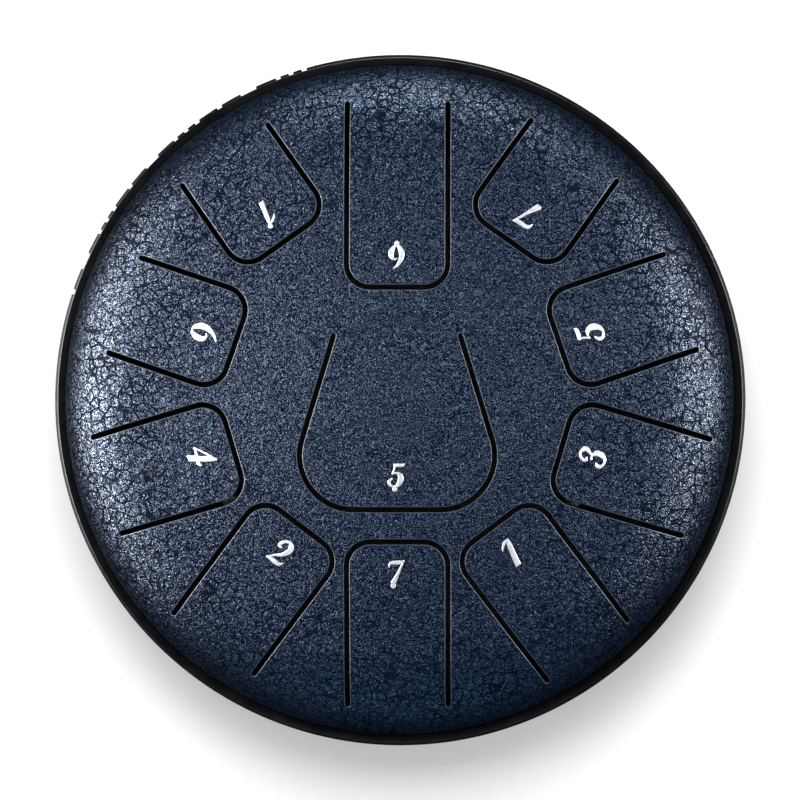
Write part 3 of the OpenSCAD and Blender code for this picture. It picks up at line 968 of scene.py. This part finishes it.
def trim_angles():
    """Angles round the trim, close together at the flanks of the blocks, and the band's height at each:
    1 on a block and 0 in a gap."""
    soft = math.degrees(BAND_SOFT / BAND_R)
    stops = [0.0]
    for first, last in block_gaps():
        stops.extend(first + soft * k for k in (-1.1, -1, -0.75, -0.5, -0.25, 0, 0.1))
        stops.extend(last + soft * k for k in (-0.1, 0, 0.25, 0.5, 0.75, 1, 1.1))
    stops.sort()
    angles = []
    for a, b in zip(stops, stops[1:] + [360]):
        steps = max(1, math.ceil((b - a) / TRIM_STEP))
        angles.extend(a + (b - a) * k / steps for k in range(steps))
    angles = np.array(angles)
    height = np.ones(len(angles))
    for first, last in block_gaps():
        outside = np.maximum(first - angles, angles - last)
        height = np.minimum(height, smooth_step(outside / soft))
    return angles, height


def rounded(corners, radius, steps=3):
    """A closed outline with every corner cut to an arc-like curve."""
    corners = np.array(corners, float)
    points = []
    for before, here, after in zip(np.roll(corners, 1, axis=0), corners, np.roll(corners, -1, axis=0)):
        a = here + (before - here) * min(0.45, radius / np.linalg.norm(before - here))
        b = here + (after - here) * min(0.45, radius / np.linalg.norm(after - here))
        for k in range(steps + 1):
            u = k / steps
            points.append((1 - u) ** 2 * a + 2 * u * (1 - u) * here + u ** 2 * b)
    return np.array(points)


def trim_section(band_top):
    """Outline of the trim: (radius, height above the seam), with more points where the band rises."""
    flange = SEAL_T / 2 + SHEET_T
    half = trim_half_h
    lip = half - TRIM_LIP_SLOPE
    outline = rounded([(TRIM_LIP_R, flange), (TRIM_LIP_R, lip), (TRIM_R, half), (TRIM_R, band_top),
                       (TRIM_R, -band_top), (TRIM_R, -half), (TRIM_LIP_R, -lip), (TRIM_LIP_R, -flange),
                       (FLANGE_R, -flange), (FLANGE_R, flange)], TRIM_CORNER)
    on_wall = (abs(outline[:, 0] - TRIM_R) < 0.01) & (abs(outline[:, 1]) < band_top + 0.2)
    start = int(np.flatnonzero(on_wall)[0])
    wall = [(TRIM_R, band_top * share) for share in WALL_SHARES]
    return np.vstack([outline[:start], wall, outline[start:][~on_wall[start:]]])


def edge_trim():
    """Rubber channel pressed over the flanges, with a raised band."""
    band_top = trim_half_h - BAND_LAND
    angles, on_block = trim_angles()
    ring = np.array([polar(a) for a in angles])
    pile = Pile()
    rows = []
    for radius, height in trim_section(band_top):
        share = smooth_step((band_top - abs(height)) / BAND_SOFT) if abs(radius - TRIM_R) < 0.01 else 0.0
        reach = radius + (BAND_R - TRIM_R) * share * on_block
        points = np.column_stack([ring * reach[:, None], np.full(len(ring), seam_z + height)])
        rows.append(pile.add(points, points))
    for a, b in zip(rows, rows[1:] + rows[:1]):
        pile.strip(a, b, closed=True)
    finished(pile, "rubber_edge_trim", trim_rubber, "edge_trim")


edge_trim()


# ---- feet and their hardware ----

FOOT_R = 8.5              # at the floor
FOOT_TOP_R = 10.0         # under the shell
FOOT_EDGE_R = 1.5
RECESS_R = 4.8            # the foot's pocket for the screw's head
RECESS_H = 4.2
CUP_T = 0.8
HEAD_H = 2.4
HEAD_R = 3.6
DRIVE_R = 1.2             # half the length of a cross arm
DRIVE_H = 1.4
DRIVE_TAPER = 0.72        # size of the cross at its bottom, as a share of its mouth
BOLT_PLAY = 0.15
TOUCH = 0.01              # gap between steel parts that rest on each other
THREAD_PITCH = 0.7
THREAD_DEPTH = 0.3
WASHER_T = 1.2
WASHER_R = 5.6
NUT_H = 3.2
NUT_R = 4.04              # across the corners
SHANK_PROUD = 1.4         # length of screw that stands out of the nut
TURN_STEPS = 48           # points round a small turned part


def arc_rows(centre, radius, first, last, steps=3):
    """Rows (radius, height) along an arc between two angles."""
    return [tuple(centre + radius * polar(first + (last - first) * k / steps)) for k in range(steps + 1)]


def ring_rows(inner, outer, low, high, edge):
    """Rows of a flat ring with rounded corners."""
    corners = [(inner + edge, low + edge, 180), (outer - edge, low + edge, 270),
               (outer - edge, high - edge, 0), (inner + edge, high - edge, 90)]
    return [row for r, z, angle in corners for row in arc_rows((r, z), edge, angle, angle + 90)]


def lathe(pile, centre, rows, steps=TURN_STEPS, closed=True):
    """A solid turned round an upright axis. Each row is (radius, height), where either may be a number
    or a rule that is given the angles in radians or the flat places."""
    angles = np.arange(steps) * 2 * math.pi / steps
    ring = np.column_stack([np.cos(angles), np.sin(angles)])
    made = []
    for radius, height in rows:
        reach = radius(angles) if callable(radius) else np.full(steps, float(radius))
        flat = np.array(centre) + ring * reach[:, None]
        level = height(flat) if callable(height) else np.full(steps, float(height))
        points = np.column_stack([flat, level])
        made.append(pile.add(points, points))
    for a, b in zip(made, made[1:] + (made[:1] if closed else [])):
        pile.strip(a, b, closed=True)
    return made


def lathe_at_feet(pile, rows, steps=TURN_STEPS):
    for _, angle in FEET:
        lathe(pile, FOOT_RING_R * polar(angle), rows, steps)


def under_shell(inset, lift=0.0):
    """Heights of the lower shell's outer face, or of a face inset into it."""
    return lambda flat: LOWER_DOME.surface(flat, inset)[0][:, 2] + lift


def inner_skin_z():
    """Level that the inner washers reach: the inside of the lower shell at their outer edge."""
    place = np.array([[FOOT_RING_R + WASHER_R, 0.0]])
    return float(LOWER_DOME.surface(place, SHEET_T)[0][0, 2])


def rubber_foot(name, angle):
    centre = FOOT_RING_R * polar(angle)
    bore = SCREW_R + BOLT_PLAY
    skin = under_shell(0)
    top = nadir_z + FACE_R - math.sqrt(FACE_R ** 2 - FOOT_RING_R ** 2)
    rows = [(bore, RECESS_H), (RECESS_R - 0.05, RECESS_H), (RECESS_R, RECESS_H - 0.05), (RECESS_R, 0.3)]
    rows += arc_rows((RECESS_R + 0.3, 0.3), 0.3, 180, 270)
    rows += [(6.6, 0.0)] + arc_rows((FOOT_R - FOOT_EDGE_R, FOOT_EDGE_R), FOOT_EDGE_R, 270, 360, 5)
    rows += [(FOOT_R + (FOOT_TOP_R - FOOT_R) * share, top * share) for share in (0.4, 0.7)]
    rows += [(FOOT_TOP_R - 0.35, under_shell(0, -0.5)), (FOOT_TOP_R - 0.25, under_shell(0, -0.2)),
             (FOOT_TOP_R - 0.35, skin), (7.0, skin), (4.5, skin), (bore, skin)]
    pile = Pile()
    lathe(pile, centre, rows, 72)
    finished(pile, "rubber_" + name, foot_rubber, name)


def cup_washers():
    pile = Pile()
    rows = ring_rows(SCREW_R + BOLT_PLAY, RECESS_R - BOLT_PLAY, RECESS_H - CUP_T, RECESS_H - TOUCH, 0.2)
    lathe_at_feet(pile, rows)
    finished(pile, "steel_cup_washers", zinc, "foot_cup_washers")


def cross_outline():
    """Outline of a cross recess with flared arms."""
    arm, throat = 2 * DRIVE_R, DRIVE_R / 3
    quarter = np.array([(arm, -throat), (arm + 0.08, 0.0), (arm, throat), (throat + 0.25, throat + 0.08),
                        (throat + 0.08, throat + 0.25)])
    return np.vstack([turned(quarter, 90 * k) for k in range(4)])


def screw_thread(low, high):
    """Rows of a helical thread, chamfered at its tip."""
    core_r = SCREW_R - THREAD_DEPTH
    rows = []
    count = math.ceil((high - low) / (THREAD_PITCH / 6))
    for k in range(count + 1):
        z = low + (high - low) * k / count

        def radius(angles, z=z):
            phase = (z / THREAD_PITCH - angles / (2 * math.pi)) % 1
            return np.minimum(SCREW_R - THREAD_DEPTH * abs(2 * phase - 1), core_r - 0.3 + (high - z))

        rows.append((radius, z))
    return rows


def head_face(pile, centre, level, rim_row):
    """Fills a screw's head inside a row of points, round a tapered cross recess."""
    cross = cross_outline()
    rim = np.array([pile.points[i][:2] for i in rim_row])
    mouth = centre + cross
    _, (ring, hole), triangles = triangulated(
        [(rim, True), (mouth, True)], np.zeros((0, 2)),
        lambda middles: inside(middles, rim) & ~inside(middles, mouth))

    def cross_row(flat, height):
        points = np.column_stack([flat, np.full(len(flat), height)])
        return pile.add(points, points)

    edge = cross_row(mouth, level)
    face_points = dict(zip(ring + hole, rim_row + edge))
    for triangle in triangles:
        pile.face([face_points[k] for k in triangle])
    deep = cross_row(centre + cross * DRIVE_TAPER, level + DRIVE_H)
    pile.strip(edge, deep, closed=True)
    pile.face(deep)


def foot_screws():
    pile = Pile()
    face = RECESS_H - CUP_T - HEAD_H
    seat = RECESS_H - CUP_T - TOUCH
    nut_z = inner_skin_z() + WASHER_T
    # From the head's rounded face to where the thread starts
    rows = [(2.75, face), (3.1, face + 0.12), (3.4, face + 0.4), (HEAD_R - 0.05, face + 0.9),
            (HEAD_R, face + 1.3), (HEAD_R, seat - 0.15), (HEAD_R - 0.15, seat), (SCREW_R, seat),
            (SCREW_R, nut_z - 1.0)]
    rows += screw_thread(nut_z - 0.9, nut_z + NUT_H + SHANK_PROUD)
    for _, angle in FEET:
        centre = FOOT_RING_R * polar(angle)
        made = lathe(pile, centre, rows, closed=False)
        pile.face(made[-1])
        head_face(pile, centre, face, made[0])
    finished(pile, "cross_head_screws", zinc, "foot_screws")


def inner_washers():
    pile = Pile()
    high = inner_skin_z() + WASHER_T
    bore = SCREW_R + BOLT_PLAY
    skin = under_shell(SHEET_T, TOUCH)
    edge = 0.25
    rows = [(bore, skin), (WASHER_R - edge, skin), (WASHER_R, under_shell(SHEET_T, edge))]
    rows += arc_rows((WASHER_R - edge, high - edge), edge, 0, 90)
    rows += arc_rows((bore + edge, high - edge), edge, 90, 180)
    lathe_at_feet(pile, rows)
    finished(pile, "nylon_washers", shade_black_nylon, "inner_washers")


def foot_nuts():
    pile = Pile()
    low = inner_skin_z() + WASHER_T + TOUCH
    high = low + NUT_H - TOUCH
    across = NUT_R * math.cos(math.radians(30))
    chamfer = 0.35

    def flats(inset):
        def radius(angles):
            fold = (angles % (math.pi / 3)) - math.pi / 6
            return np.minimum(across / np.cos(fold), across - 0.02 + inset)
        return radius

    bore = SCREW_R + 0.02
    rows = [(bore, low + chamfer), (bore + 0.3, low), (across - 0.1, low), (flats(0.0), low + 0.02),
            (flats(0.25), low + 0.15), (flats(0.6), low + chamfer), (flats(0.6), high - chamfer),
            (flats(0.25), high - 0.15), (flats(0.0), high - 0.02), (across - 0.1, high), (bore + 0.3, high),
            (bore, high - chamfer)]
    lathe_at_feet(pile, rows, 72)
    finished(pile, "hex_nuts", nut_shade_steel, "foot_nuts")


for foot_name, foot_angle in FEET:
    rubber_foot(foot_name, foot_angle)
cup_washers()
foot_screws()
inner_washers()
foot_nuts()


# ---- the one CAD node that is kept as it is ----

seal_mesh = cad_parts["seam_seal"].data
seal_mesh.materials.clear()
seal_mesh.materials.append(sealant)
